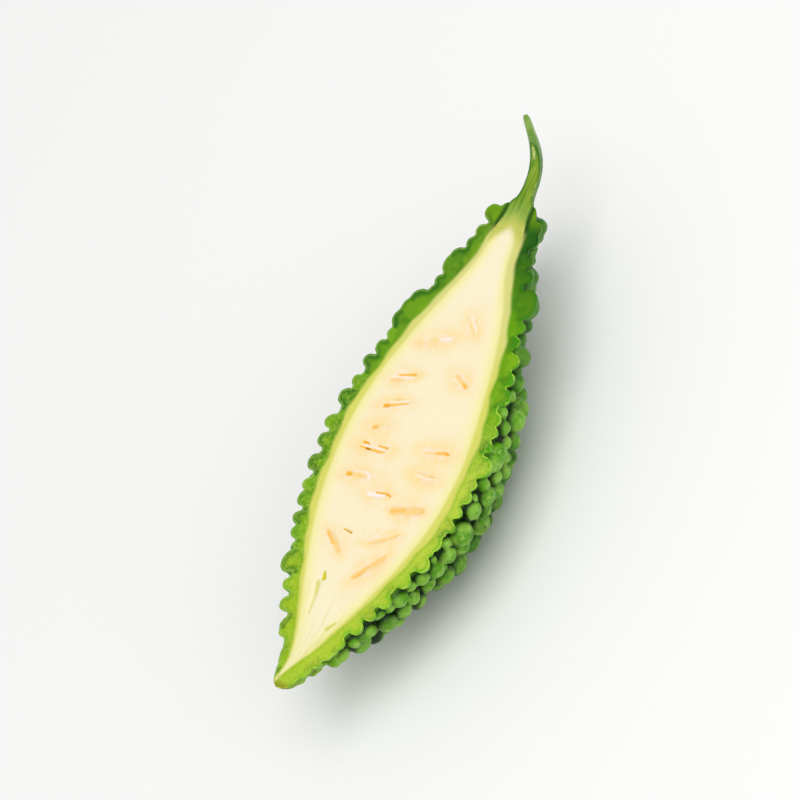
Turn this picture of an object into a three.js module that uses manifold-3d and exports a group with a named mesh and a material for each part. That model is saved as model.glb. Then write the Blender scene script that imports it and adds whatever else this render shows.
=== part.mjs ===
// Half of a bitter gourd, cut lengthwise through its stem and lying on its warty back.
// Millimetres, +Z up. X runs from the blossom tip to the stem, Y across the cut face.
// The cut face is level, and the lowest tubercles are pressed flat where they rest at Z = 0.
import * as THREE from "three";
import { mergeVertices } from "three/addons/utils/BufferGeometryUtils.js";
import Module from "manifold-3d";

const wasm = await Module();
wasm.setup();

// Driving dimensions
const BODY_LENGTH = 170; // blossom tip to the lip round the stem
const FACE_HEIGHT = 33.4; // the cut face above the surface it lies on
// A spindle has a radius at its belly, how far the belly sits from the middle, and how slim each end is
const WALL = { radius: 29.8, lean: 0.925, tipSlim: 1.3, stemSlim: 0.94 }; // between its tubercles
const TIP_RADIUS = 4.5; // the blunt blossom end
const SHOULDER_RADIUS = 7.7; // the end at the stem
const TIP_CAP = 5; // length over which the blossom end closes
const LIP_LENGTH = 5; // length over which the shoulder rolls in to the stem
const CORE = { radius: 24.2, lean: 0.89, tipSlim: 1.52, stemSlim: 1.17 }; // the pale pith
const PITH_START = 4; // the core's point, measured from the blossom tip
const PITH_END = 160.6; // where the core meets the root of the stem
const NECK_RADIUS = 5.2; // the core's neck where the stem takes over
const NECK_END_RADIUS = 4.5; // the stem in the lip
const NECK_START = 0.8; // share of the length where the neck begins to show
const NECK_FULL = 0.95;
const BOW = 3.7; // sideways bend of the body
const TIP_HOOK = 4.7; // how far the blossom tip turns back to the left
const TIP_HOOK_POWER = 7;
const SWAY = { height: 1.4, at: 0.6, spread: 0.15 }; // a slight second bend above the belly
const GAP = 0.3; // room between two pieces that touch
const SKIN_STEP = 1.75; // edge length of the warty skin's triangles
const CORE_STEP = 3.6; // edge length of the smooth surfaces' triangles
const TUBERCLE_LIFT = 0.3; // a tubercle's centre above the wall, in its own radii
const DOME_SPREAD = 1.12; // a tubercle's foot on the wall, in its own radii
const DOME_POWER = 0.6; // how round its dome is
const TIP_CALM = 9; // tubercles flatten out over this length at the blossom end
const SPACING = 0.88; // how close two tubercles may stand, in the sum of their radii
const ROW_STEP = 0.9; // distance between the balls of one ridge, in their radius
const BARE_END = 0.02; // share of the length at either end with no tubercle's centre
const END_SIZE = 0.72; // tubercles shrink to this share of their size at the ends
const END_TAPER = 0.3; // share of the length over which they shrink
const SEED_START = 20260;

// Tubercles that the knife went through: [share of the length, radius, how many in a row]
const LEFT_EDGE = [
  [0.057, 2.4, 2], [0.11, 2.6, 2], [0.154, 2.6, 1], [0.191, 2.6, 1], [0.2325, 3.4, 1],
  [0.288, 2.3, 1], [0.315, 2.4, 1], [0.352, 2.4, 1], [0.38, 2.2, 1], [0.424, 2.9, 1],
  [0.469, 2.5, 1], [0.506, 3.1, 1], [0.558, 2.7, 1], [0.595, 2, 1], [0.636, 2.6, 1],
  [0.668, 2.3, 1], [0.698, 2.2, 1], [0.75, 4.2, 3], [0.819, 1.9, 1], [0.863, 3.5, 2],
  [0.908, 2, 1], [0.937, 2.4, 1], [0.972, 2.8, 1],
];
const RIGHT_EDGE = [
  [0.1, 2.2, 3], [0.149, 2.2, 1], [0.177, 2.2, 1], [0.2087, 2.2, 1], [0.253, 2.3, 1],
  [0.2935, 2.9, 1], [0.335, 2, 1], [0.3725, 1.9, 1], [0.4, 1.9, 1], [0.4325, 1.9, 1],
  [0.458, 2, 1], [0.494, 3.6, 1], [0.533, 1.9, 1], [0.56, 2.1, 1], [0.585, 2.1, 1],
  [0.629, 2.7, 1], [0.664, 2.7, 1], [0.697, 2.6, 1], [0.7345, 2.1, 1], [0.763, 2.2, 1],
  [0.806, 5.2, 1], [0.86, 2.6, 1], [0.89, 1.9, 1], [0.943, 3.1, 3],
];
// Large tubercles below the right edge: [share of the length, degrees below the face, radius, count]
const RIGHT_ROWS = [
  [0.565, 18, 2.4, 1], [0.54, 21, 2.4, 1], [0.46, 17, 3.3, 1], [0.412, 26, 3.4, 1],
  [0.366, 23, 3.2, 1], [0.28, 22, 2.7, 1], [0.245, 22, 3, 1], [0.19, 27, 3.4, 1],
  [0.631, 40, 2.5, 1], [0.544, 41, 3, 3], [0.494, 36, 3, 1], [0.439, 46, 3.1, 1],
  [0.39, 43, 3.6, 1], [0.299, 44, 2.7, 1], [0.259, 50, 3.2, 1],
];
// The other tubercles are drawn at random, the largest first: [radius, tries]
const RANDOM_SIZES = [[4.1, 300], [3.5, 1200], [3, 2400], [2.5, 3600]];
const RIDGE_ENDS = 0.2; // within this share of either end, tubercles run together into ridges
const END_RIDGES = 0.8; // share of the tubercles there that are ridges
const OTHER_RIDGES = 0.22; // and elsewhere
const OVER_EDGE = 0.16; // radians above the cut face where a tubercle may still have its centre

// Cut seeds, as they lie in the face: [x, y, length, thickness, degrees turned, depth]
const SEEDS = [
  [127.3, -7.3, 8, 3, -45, 6], [119.9, 3.7, 15, 3.6, 18, 6.5], [105.7, 9.4, 11.4, 3.2, 16, 6],
  [108.7, -12.6, 8.6, 3, -26, 5.5], [96.7, 7.7, 12, 3.4, 16, 6.5], [88.3, 9, 9, 2.8, 11, 5],
  [81.5, 7.9, 12.8, 4, 3, 6.5], [84.6, -15.9, 12, 3, 0, 5.5], [71.5, 8.8, 12.9, 3.4, 9, 6.5],
  [76.1, -15.7, 10.8, 3, -4, 5], [67.2, -2.1, 10.4, 3, 5, 5.5], [64.5, -14.6, 14.6, 4.2, 9, 6.5],
  [49.2, 6.6, 11.2, 3.2, -36, 6], [54, -11.2, 12.6, 3, 22, 5.5], [44.2, -11, 14, 4, 46, 6],
];
// The stem's middle line past the lip, rising and then leaning over: [x, y, below the face, radius]
const STEM_LINE = [
  [171.5, -3.8, 0, 3.5], [174.3, -3.8, 0, 2.8], [177.9, -3.5, 0, 2.6], [181.5, -2.6, 0.3, 2.35],
  [185.2, -0.8, 0.8, 2.15], [188.7, 1.7, 1.4, 1.95], [192.2, 4.8, 2, 1.65], [195.6, 8.3, 2.6, 1.4],
  [199, 11.8, 3.1, 1.2], [200.6, 13.5, 3.3, 1],
];
const STEM_SIDES = 15;
const STEM_RIDGES = 5;
const STEM_RIDGE_DEPTH = 0.07;
const STEM_STEP = 1.7;
const ROOT_KNOTS = 4; // points of the middle line in the neck
const RIDGES_START = BODY_LENGTH + 1; // the stem's ridges rise over this stretch
const RIDGES_FULL = BODY_LENGTH + 6;
const SEED_SUNK = 0.25; // a seed's middle below the face, in its own depth
const TOLERANCE = 1e-4;

// A repeatable random number from 0 to 1
let seedState = SEED_START;
function random() {
  seedState = (Math.imul(seedState, 1664525) + 1013904223) >>> 0;
  return seedState / 4294967296;
}

const smooth = (from, to, x) => THREE.MathUtils.smoothstep(x, from, to);

// The body's middle line, seen from above
function middleY(x) {
  const u = THREE.MathUtils.clamp(x / BODY_LENGTH, 0, 1);
  const sway = SWAY.height * Math.exp(-(((u - SWAY.at) / SWAY.spread) ** 2));
  return -BOW + TIP_HOOK * (1 - u) ** TIP_HOOK_POWER + sway;
}

// Radius of a spindle at a share of its length
function spindle({ radius, lean, tipSlim, stemSlim }, u) {
  const wave = Math.max(0, Math.sin(Math.PI * THREE.MathUtils.clamp(u, 0, 1) ** lean));
  return radius * wave ** THREE.MathUtils.lerp(tipSlim, stemSlim, u);
}

// Radius of the pale core, and of the stem's root that carries it on
function coreRadius(x) {
  const belly = spindle(CORE, (x - PITH_START) / (BODY_LENGTH - PITH_START));
  const share = THREE.MathUtils.clamp((x - PITH_END) / (BODY_LENGTH - PITH_END), 0, 1);
  const neck = THREE.MathUtils.lerp(NECK_RADIUS, NECK_END_RADIUS, share);
  return Math.hypot(belly, neck * smooth(NECK_START, NECK_FULL, x / BODY_LENGTH));
}

// Radius of the green wall between its tubercles
function wallRadius(x) {
  const u = THREE.MathUtils.clamp(x / BODY_LENGTH, 0, 1);
  const full = Math.hypot(spindle(WALL, u), THREE.MathUtils.lerp(TIP_RADIUS, SHOULDER_RADIUS, u));
  if (x < TIP_CAP) return full * Math.sqrt(1 - (1 - x / TIP_CAP) ** 2);
  const lip = BODY_LENGTH - LIP_LENGTH;
  if (x <= lip) return full;
  const opening = coreRadius(BODY_LENGTH) + GAP;
  const roll = Math.sqrt(Math.max(0, 1 - ((x - lip) / LIP_LENGTH) ** 2));
  return opening + (full - opening) * roll;
}

// A point at a radius and an angle: 0 is the face's left edge, 90 degrees the bottom, 180 the right edge
function around(x, radius, angle) {
  return new THREE.Vector3(
    x,
    middleY(x) + radius * Math.cos(angle),
    FACE_HEIGHT - radius * Math.sin(angle),
  );
}

function wallNormal(x, angle) {
  const step = 0.2;
  const slope = (wallRadius(x + step) - wallRadius(Math.max(0, x - step))) / (2 * step);
  return new THREE.Vector3(-slope, Math.cos(angle), -Math.sin(angle)).normalize();
}

// A tubercle is a ball, or a row of balls along the body, sunk in the wall
function tubercle(x, angle, radius, count) {
  const balls = [];
  for (let i = 0; i < count; i++) {
    const place = x + (i - (count - 1) / 2) * radius * ROW_STEP;
    const at = THREE.MathUtils.clamp(place, 1, BODY_LENGTH - 2);
    const centre = around(at, wallRadius(at), angle);
    centre.addScaledVector(wallNormal(at, angle), TUBERCLE_LIFT * radius);
    balls.push({ centre, radius });
  }
  return balls;
}

function placeTubercles() {
  const balls = [];
  for (const [u, radius, count] of LEFT_EDGE)
    balls.push(...tubercle(u * BODY_LENGTH, 0, radius, count));
  for (const [u, radius, count] of RIGHT_EDGE)
    balls.push(...tubercle(u * BODY_LENGTH, Math.PI, radius, count));
  for (const [u, below, radius, count] of RIGHT_ROWS) {
    const angle = Math.PI - THREE.MathUtils.degToRad(below);
    balls.push(...tubercle(u * BODY_LENGTH, angle, radius, count));
  }
  for (const [size, tries] of RANDOM_SIZES)
    for (let i = 0; i < tries; i++) {
      const u = BARE_END + (1 - 2 * BARE_END) * random();
      const angle = -OVER_EDGE + (Math.PI + 2 * OVER_EDGE) * random();
      const grows = random();
      const row = random();
      if (grows > wallRadius(u * BODY_LENGTH) / WALL.radius) continue;
      const fromEnd = Math.min(u, 1 - u);
      const radius = size * THREE.MathUtils.lerp(END_SIZE, 1, smooth(0, END_TAPER, fromEnd));
      const ridges = fromEnd < RIDGE_ENDS ? END_RIDGES : OTHER_RIDGES;
      const count = row < ridges ? (row < ridges / 2 ? 2 : 3) : 1;
      const made = tubercle(u * BODY_LENGTH, angle, radius, count);
      const clear = made.every((a) =>
        balls.every((b) => a.centre.distanceTo(b.centre) > SPACING * (a.radius + b.radius)),
      );
      if (clear) balls.push(...made);
    }
  return balls;
}

const balls = placeTubercles();

// The warty skin: the wall's point moved out along its normal to the highest dome there
function skinPoint(x, angle) {
  const point = around(x, wallRadius(x), angle);
  if (x <= 0 || x >= BODY_LENGTH) return point;
  const normal = wallNormal(x, angle);
  let height = 0;
  for (const { centre, radius } of balls) {
    const to = centre.clone().sub(point);
    const along = to.dot(normal);
    const aside = (to.lengthSq() - along * along) / (DOME_SPREAD * radius) ** 2;
    if (aside < 1 && along > -radius)
      height = Math.max(height, (along + radius) * (1 - aside) ** DOME_POWER);
  }
  height *= smooth(-1, TIP_CALM, x) * smooth(0, 2, BODY_LENGTH - x);
  point.addScaledVector(normal, height);
  point.z = Math.max(0, point.z);
  if (angle === 0 || angle === Math.PI) point.z = FACE_HEIGHT;
  return point;
}

// Places along X whose spacing along a surface of revolution is near to step
function stations(from, to, radiusAt, step) {
  const fine = 0.05;
  const lengths = [0];
  for (let x = from; x < to - fine / 2; x += fine)
    lengths.push(lengths.at(-1) + Math.hypot(fine, radiusAt(x + fine) - radiusAt(x)));
  const count = Math.max(2, Math.round(lengths.at(-1) / step));
  const found = [];
  let i = 0;
  for (let n = 0; n <= count; n++) {
    while (i < lengths.length - 1 && lengths[i] < (lengths.at(-1) * n) / count) i++;
    found.push(n === count ? to : from + i * fine);
  }
  return found;
}

// A mesh under construction
class Shell {
  constructor() {
    this.points = [];
    this.faces = [];
  }
  add(point) {
    return this.points.push(point) - 1;
  }
  // A half ring from the left edge, under the body, to the right edge
  halfRing(x, radius, step, pointAt) {
    if (radius < 0.01) return [this.add(around(x, 0, 0))];
    const sides = Math.max(8, Math.round((Math.PI * radius) / step));
    return Array.from({ length: sides + 1 }, (_, i) =>
      this.add(pointAt(x, i === sides ? Math.PI : (Math.PI * i) / sides)),
    );
  }
  // Fills the strip between two rings. Swapping them turns the faces round
  stitch(a, b) {
    let i = 0;
    let j = 0;
    while (i < a.length - 1 || j < b.length - 1) {
      const nextA = i < a.length - 1 ? (i + 1) / (a.length - 1) : Infinity;
      const nextB = j < b.length - 1 ? (j + 1) / (b.length - 1) : Infinity;
      if (nextA <= nextB) this.faces.push([b[j], a[i + 1], a[i++]]);
      else this.faces.push([a[i], b[j], b[++j]]);
    }
  }
  // Closes a level outline with faces that point up
  fillLevel(outline) {
    const flat = outline.map((i) => new THREE.Vector2(this.points[i].x, this.points[i].y));
    for (const [a, b, c] of THREE.ShapeUtils.triangulateShape(flat, [])) {
      const ab = flat[b].clone().sub(flat[a]);
      const up = ab.cross(flat[c].clone().sub(flat[a])) > 0;
      this.faces.push(up ? [outline[a], outline[b], outline[c]] : [outline[a], outline[c], outline[b]]);
    }
  }
  solid() {
    const vertProperties = new Float32Array(this.points.flatMap((p) => [p.x, p.y, p.z]));
    const triVerts = new Uint32Array(this.faces.flat());
    const mesh = new wasm.Mesh({ numProp: 3, vertProperties, triVerts });
    mesh.merge();
    return new wasm.Manifold(mesh);
  }
}

const coreStations = stations(PITH_START, PITH_END, coreRadius, CORE_STEP);
const rootStations = stations(PITH_END, BODY_LENGTH, coreRadius, CORE_STEP);

// The green wall with its tubercles: a trough, open where the stem comes out
function rindSolid() {
  const shell = new Shell();
  const outerAt = stations(0, BODY_LENGTH, wallRadius, SKIN_STEP * 0.87);
  const outer = outerAt.map((x) => shell.halfRing(x, wallRadius(x), SKIN_STEP, skinPoint));
  const inside = (x, angle) => around(x, coreRadius(x) + GAP, angle);
  const innerAt = [...coreStations, ...rootStations.slice(1, -1)].slice(1);
  const inner = innerAt.map((x) => shell.halfRing(x, coreRadius(x), CORE_STEP, inside));
  inner.unshift([shell.add(around(PITH_START - 2 * GAP, 0, 0))]);
  inner.push(outer.at(-1));
  for (let i = 1; i < outer.length; i++) shell.stitch(outer[i - 1], outer[i]);
  for (let i = 1; i < inner.length; i++) shell.stitch(inner[i], inner[i - 1]);
  const left = (rings) => rings.map((ring) => ring[0]);
  const right = (rings) => rings.map((ring) => ring.at(-1));
  shell.fillLevel([
    ...left(outer).reverse(),
    ...right(outer).slice(1),
    ...right(inner).slice(0, -1).reverse(),
    ...left(inner).slice(1, -1),
  ]);
  return shell.solid();
}

// The pale core before the seeds' pockets are cut
function pithSolid() {
  const shell = new Shell();
  const surface = (x, angle) => around(x, coreRadius(x), angle);
  const rings = coreStations.map((x) => shell.halfRing(x, coreRadius(x), CORE_STEP, surface));
  for (let i = 1; i < rings.length; i++) shell.stitch(rings[i - 1], rings[i]);
  const last = rings.at(-1);
  for (let i = 1; i < last.length - 1; i++) shell.faces.push([last[0], last[i + 1], last[i]]);
  shell.fillLevel([
    ...rings.map((ring) => ring[0]).reverse(),
    ...rings.map((ring) => ring.at(-1)).slice(1),
  ]);
  return shell.solid();
}

// A closed three.js geometry as a solid
function solidFrom(geometry) {
  const bare = geometry.clone();
  bare.deleteAttribute("normal");
  bare.deleteAttribute("uv");
  const merged = mergeVertices(bare, TOLERANCE);
  return new wasm.Manifold(
    new wasm.Mesh({
      numProp: 3,
      vertProperties: merged.getAttribute("position").array,
      triVerts: new Uint32Array(merged.index.array),
    }),
  );
}

// Everything on the side that the knife took away
function aboveFace() {
  const side = 600;
  const box = new THREE.BoxGeometry(side, side, side);
  box.translate(0, 0, FACE_HEIGHT + side / 2);
  return solidFrom(box);
}

// A seed standing on edge in the pith, before the knife, grown by a margin for its pocket
function seedSolid([x, y, length, thickness, turned, depth], margin) {
  const seed = new THREE.SphereGeometry(1, 12, 8);
  seed.rotateX(Math.PI / 2);
  seed.scale(thickness / 2 + margin, length / 2 + margin, depth + margin);
  seed.rotateZ(THREE.MathUtils.degToRad(turned));
  seed.translate(x, y, FACE_HEIGHT - SEED_SUNK * depth);
  return solidFrom(seed);
}

// The stem: its root in the neck, then a ridged, tapering and bending tube with a rounded end
function stemSolid() {
  const root = Array.from({ length: ROOT_KNOTS }, (_, i) => {
    const x = THREE.MathUtils.lerp(PITH_END + GAP, BODY_LENGTH, i / (ROOT_KNOTS - 1));
    return { at: new THREE.Vector3(x, middleY(x), FACE_HEIGHT), radius: coreRadius(x) };
  });
  const free = STEM_LINE.map(([x, y, below, radius]) => ({
    at: new THREE.Vector3(x, y, FACE_HEIGHT - below),
    radius,
  }));
  const knots = [...root, ...free];
  const line = new THREE.CatmullRomCurve3(knots.map((k) => k.at), false, "centripetal");
  const count = Math.round(line.getLength() / STEM_STEP);
  const shell = new Shell();
  const rings = [];
  for (let n = 0; n <= count; n++) {
    const centre = line.getPointAt(n / count);
    const along = line.getTangentAt(n / count);
    const across = new THREE.Vector3(0, 0, 1).cross(along).normalize();
    const up = along.clone().cross(across);
    const after = knots.findIndex((k, i) => i > 0 && k.at.x >= centre.x);
    const [a, b] = after < 0 ? knots.slice(-2) : [knots[after - 1], knots[after]];
    const share = THREE.MathUtils.clamp((centre.x - a.at.x) / (b.at.x - a.at.x), 0, 1);
    const radius =
      centre.x < BODY_LENGTH ? coreRadius(centre.x) : THREE.MathUtils.lerp(a.radius, b.radius, share);
    const ridged = STEM_RIDGE_DEPTH * smooth(RIDGES_START, RIDGES_FULL, centre.x);
    const ring = [];
    for (let i = 0; i < STEM_SIDES; i++) {
      const angle = (2 * Math.PI * i) / STEM_SIDES;
      const reach = radius * (1 - ridged + ridged * Math.cos(STEM_RIDGES * angle));
      const point = centre.clone();
      point.addScaledVector(across, reach * Math.cos(angle));
      point.addScaledVector(up, reach * Math.sin(angle));
      ring.push(shell.add(point));
    }
    rings.push([...ring, ring[0]]);
  }
  const end = line.getPointAt(1).addScaledVector(line.getTangentAt(1), knots.at(-1).radius * 0.5);
  rings.unshift([shell.add(line.getPointAt(0))]);
  rings.push([shell.add(end)]);
  for (let i = 1; i < rings.length; i++) shell.stitch(rings[i], rings[i - 1]);
  return shell.solid();
}

function meshOf(name, solid, material) {
  const { numProp, vertProperties, triVerts } = solid.getMesh();
  const position = new Float32Array((vertProperties.length / numProp) * 3);
  for (let i = 0; i < position.length / 3; i++)
    position.set(vertProperties.subarray(i * numProp, i * numProp + 3), i * 3);
  const geometry = new THREE.BufferGeometry();
  geometry.setAttribute("position", new THREE.BufferAttribute(position, 3));
  geometry.setIndex(new THREE.BufferAttribute(triVerts, 1));
  geometry.computeVertexNormals();
  const mesh = new THREE.Mesh(geometry, material);
  mesh.name = name;
  return mesh;
}

// Materials
const green = new THREE.MeshStandardMaterial({ color: 0x3f7d2a, roughness: 0.42, metalness: 0 });
const cream = new THREE.MeshStandardMaterial({ color: 0xf6ecc4, roughness: 0.6, metalness: 0 });
const tan = new THREE.MeshStandardMaterial({ color: 0xf0c489, roughness: 0.5, metalness: 0 });
const stemGreen = new THREE.MeshStandardMaterial({ color: 0x6f9a34, roughness: 0.45, metalness: 0 });

// Assembly
const removed = aboveFace();
const pockets = SEEDS.map((seed) => seedSolid(seed, GAP));
const pith = pockets.reduce((rest, pocket) => rest.subtract(pocket), pithSolid());

const gourd = new THREE.Group();
gourd.add(meshOf("rind", rindSolid(), green));
gourd.add(meshOf("pith", pith, cream));
gourd.add(meshOf("stem", stemSolid().subtract(removed), stemGreen));
SEEDS.forEach((seed, i) => {
  const name = `seed_${String(i + 1).padStart(2, "0")}`;
  gourd.add(meshOf(name, seedSolid(seed, 0).subtract(removed), tan));
});

// The origin is on the surface it lies on, under the middle of its length and width
const box = new THREE.Box3().setFromObject(gourd);
const middle = box.getCenter(new THREE.Vector3());
gourd.position.set(-middle.x, -middle.y, 0);

export default gourd;
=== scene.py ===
"""Half of a bitter gourd, cut lengthwise and lying on its warty back.

Lengths in the shape code are millimetres along the body from the blossom tip, sideways from
the tip and above the surface it lies on. They become metres when a mesh is written.
"""

import math

import bmesh
import bpy
import numpy as np
from bpy.props import FloatProperty, FloatVectorProperty, IntProperty, PointerProperty
from bpy.types import Operator, Panel, PropertyGroup
from mathutils import Matrix, Vector
from mathutils.geometry import delaunay_2d_cdt
from mathutils.kdtree import KDTree


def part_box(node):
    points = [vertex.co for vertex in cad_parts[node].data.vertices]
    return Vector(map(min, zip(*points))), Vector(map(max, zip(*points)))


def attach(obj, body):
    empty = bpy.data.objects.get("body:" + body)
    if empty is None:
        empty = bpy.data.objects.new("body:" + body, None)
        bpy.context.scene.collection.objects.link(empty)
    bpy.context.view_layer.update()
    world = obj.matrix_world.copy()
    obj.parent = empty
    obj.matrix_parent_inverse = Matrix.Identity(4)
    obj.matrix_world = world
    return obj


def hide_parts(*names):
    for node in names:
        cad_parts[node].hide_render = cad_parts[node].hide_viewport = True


bl_info = {
    "name": "Bitter Gourd Half",
    "version": (1, 0, 0),
    "blender": (4, 5, 0),
    "location": "View3D > Sidebar > Gourd",
    "description": "Builds half of a bitter gourd with its skin, pith, seeds and stalk",
    "category": "Add Mesh",
}

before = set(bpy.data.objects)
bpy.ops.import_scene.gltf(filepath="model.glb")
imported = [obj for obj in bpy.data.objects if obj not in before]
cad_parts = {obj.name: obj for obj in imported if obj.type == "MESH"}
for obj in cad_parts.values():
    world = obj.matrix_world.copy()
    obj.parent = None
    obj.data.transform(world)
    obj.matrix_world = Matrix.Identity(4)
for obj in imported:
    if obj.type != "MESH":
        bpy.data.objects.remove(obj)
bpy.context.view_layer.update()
MM = 0.001
BODY_LENGTH = 170.0
TIP = Vector((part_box("rind")[0][0] / MM, 3.019, 0.0))
FACE_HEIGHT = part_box("rind")[1][2] / MM

# Cut seeds: x, y, length, thickness, degrees turned, depth
SEEDS = [
    (127.3, -7.3, 8, 3, -45, 6), (119.9, 3.7, 15, 3.6, 18, 6.5), (105.7, 9.4, 11.4, 3.2, 16, 6),
    (108.7, -12.6, 8.6, 3, -26, 5.5), (96.7, 7.7, 12, 3.4, 16, 6.5), (88.3, 9, 9, 2.8, 11, 5),
    (81.5, 7.9, 12.8, 4, 3, 6.5), (84.6, -15.9, 12, 3, 0, 5.5), (71.5, 8.8, 12.9, 3.4, 9, 6.5),
    (76.1, -15.7, 10.8, 3, -4, 5), (67.2, -2.1, 10.4, 3, 5, 5.5), (64.5, -14.6, 14.6, 4.2, 9, 6.5),
    (49.2, 6.6, 11.2, 3.2, -36, 6), (54, -11.2, 12.6, 3, 22, 5.5), (44.2, -11, 14, 4, 46, 6),
]
# Strokes on each cut seed, in the same order: along and across where it starts and ends, in the
# seed's half length and half thickness, half widths in mm, and tone. Below 0 it is paler
STROKES = [
    [(-0.3, -0.6, 0.5, -0.5, 0.6, 0.5, 0.26), (-0.6, 0.3, 0.7, 0.3, 0.5, 0.4, -0.8)],
    [(-0.85, 0, -0.6, -0.1, 0.9, 0.7, 0.3), (-0.55, 0.15, 0.1, -0.2, 0.6, 0.6, 0.22),
     (0, 0.5, 0.7, 0.6, 0.3, 0.3, 0.14), (0.1, -0.5, 0.8, -0.5, 0.25, 0.25, 0.16),
     (0.2, 0.05, 0.7, -0.1, 0.6, 0.6, -0.9)],
    [(-0.35, 0.6, 0.75, 0.3, 0.16, 0.38, 0.72), (-0.8, -0.35, -0.35, -0.35, 0.55, 0.5, 0.5),
     (-0.35, -0.4, 0.1, -0.7, 0.3, 0.15, 0.28), (-0.6, 0.2, 0.7, -0.35, 0.3, 0.4, -0.8)],
    [(-0.75, 0.1, 0.6, 0, 0.6, 1, 0.5), (0.25, 0, 0.6, -0.1, 0.7, 0.8, 0.68),
     (-0.4, 0.95, 0.9, 0.8, 0.3, 0.5, -0.8)],
    [(-0.68, -0.2, -0.42, -0.2, 0.72, 0.6, 0.9), (-0.42, -0.2, 0.75, -0.1, 0.5, 0.16, 0.66),
     (-0.1, 0.75, 0.6, 0.8, 0.2, 0.14, 0.4), (-0.4, 0.4, 0.8, 0.35, 0.35, 0.45, -0.8)],
    [(-0.65, -0.1, -0.42, 0, 0.8, 0.75, 0.68), (-0.4, 0.2, 0.7, 0.35, 0.6, 0.5, 0.2)],
    [(-0.75, 0.5, -0.5, 0.45, 0.45, 0.3, 0.9), (-0.5, 0.4, -0.35, 0.3, 0.25, 0.1, 0.8),
     (0.15, 0.35, 0.8, 0.15, 0.14, 0.4, 0.75), (-0.85, -0.3, 0.85, -0.8, 0.18, 0.3, 0.8),
     (-0.2, -0.35, 0.7, -0.65, 0.3, 0.6, 0.45), (-0.5, -0.42, -0.25, -0.5, 0.16, 0.2, 1.5),
     (-0.7, 0.05, 0.75, -0.15, 0.35, 0.35, -0.9)],
    [(-0.85, -0.7, 0.2, 0.15, 0.45, 0.5, 0.45), (0, 0.05, 0.6, 0.5, 0.5, 0.75, 0.68),
     (0.55, 0.4, 0.7, 0.5, 0.75, 0.8, 0.78), (-0.1, -0.9, 0.6, -0.6, 0.2, 0.2, 0.12)],
    [(-0.68, 0.15, -0.52, 0.15, 0.85, 0.75, 0.85), (-0.5, 0.1, 0.4, -0.25, 0.9, 0.85, 0.4),
     (-0.3, 0.95, 0.5, 0.6, 0.3, 0.4, -0.8), (0.5, 0.5, 0.75, -0.5, 0.5, 0.5, -0.8)],
    [(-0.65, 0.5, 0.1, 0.5, 0.2, 0.35, 0.4), (0.1, 0.5, 0.8, 0.8, 0.35, 0.2, 0.46),
     (-0.7, -0.8, 0.75, -0.35, 0.3, 0.3, 0.24), (-0.5, -0.1, 0.6, 0.1, 0.3, 0.3, -0.6)],
    [(-0.3, 0.4, 0.45, 0.4, 0.14, 0.2, 0.8), (0.45, 0.4, 0.85, 0, 0.2, 0.16, 0.95),
     (-0.65, -0.2, 0.4, 0, 0.75, 0.45, -1.4)],
    [(-0.6, -0.15, 0.8, 0.1, 1.8, 1.9, 0.5), (-0.7, -0.2, -0.1, 0.1, 1.2, 1.1, 0.62)],
    [(-0.8, 0, 0.75, 0, 1.1, 1.2, 0.48), (-0.75, -0.2, 0.1, -0.3, 0.6, 0.45, 0.66)],
    [(-0.8, -0.35, -0.1, -0.45, 0.35, 0.5, 0.42), (-0.1, -0.45, 0.9, 0.3, 0.5, 0.25, 0.46),
     (-0.4, 0.5, 0.6, 0.75, 0.35, 0.3, -0.5)],
    [(-0.85, 0, -0.2, 0.1, 1.3, 1.2, 0.58), (-0.4, 0, 0.85, 0.1, 1.3, 1.5, 0.46),
     (-0.5, 0.1, 0.6, 0.35, 0.3, 0.25, 0.6), (-0.8, -0.2, -0.3, -0.2, 0.4, 0.3, 0.66)],
]
# Factors that widen and strengthen a stroke, and mm that soften it
STROKE_SPREAD, STROKE_DEPTH, STROKE_SOFT = 1.5, 1.25, 0.3
# Marks in the pith: x and y of both ends, half widths, tone
VEINS = [
    (38.9, 4.4, 37, 3.6, 0.8, 1.4, 1.2), (35.2, 4.9, 31.5, 3.8, 1.9, 1.4, 0.62),
    (31.5, 3.8, 25, 3.1, 1.4, 0.7, 0.5), (24.4, -8.2, 21.9, -6, 0.8, 1.3, 0.7),
    (21.9, -6, 17.9, -5, 1.2, 0.8, 0.3), (17.9, -5, 8, -0.6, 1.6, 0.8, 0.3),
]
TAN_MARKS = [
    (53.8, 4.9, 53.2, 1.4, 0.4, 0.55, 1.5), (128.5, -10.4, 124.3, -12.2, 1.5, 1.3, 0.12),
    (94.6, 14.4, 94.2, 14.0, 0.6, 0.6, 0.2), (70.2, 16.4, 70.6, 16, 0.6, 0.5, 0.26),
    (83.2, -22.8, 83, -23.2, 0.6, 0.6, 0.18), (60.5, -9, 57, -14, 1.4, 1.2, 0.08),
]

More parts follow.
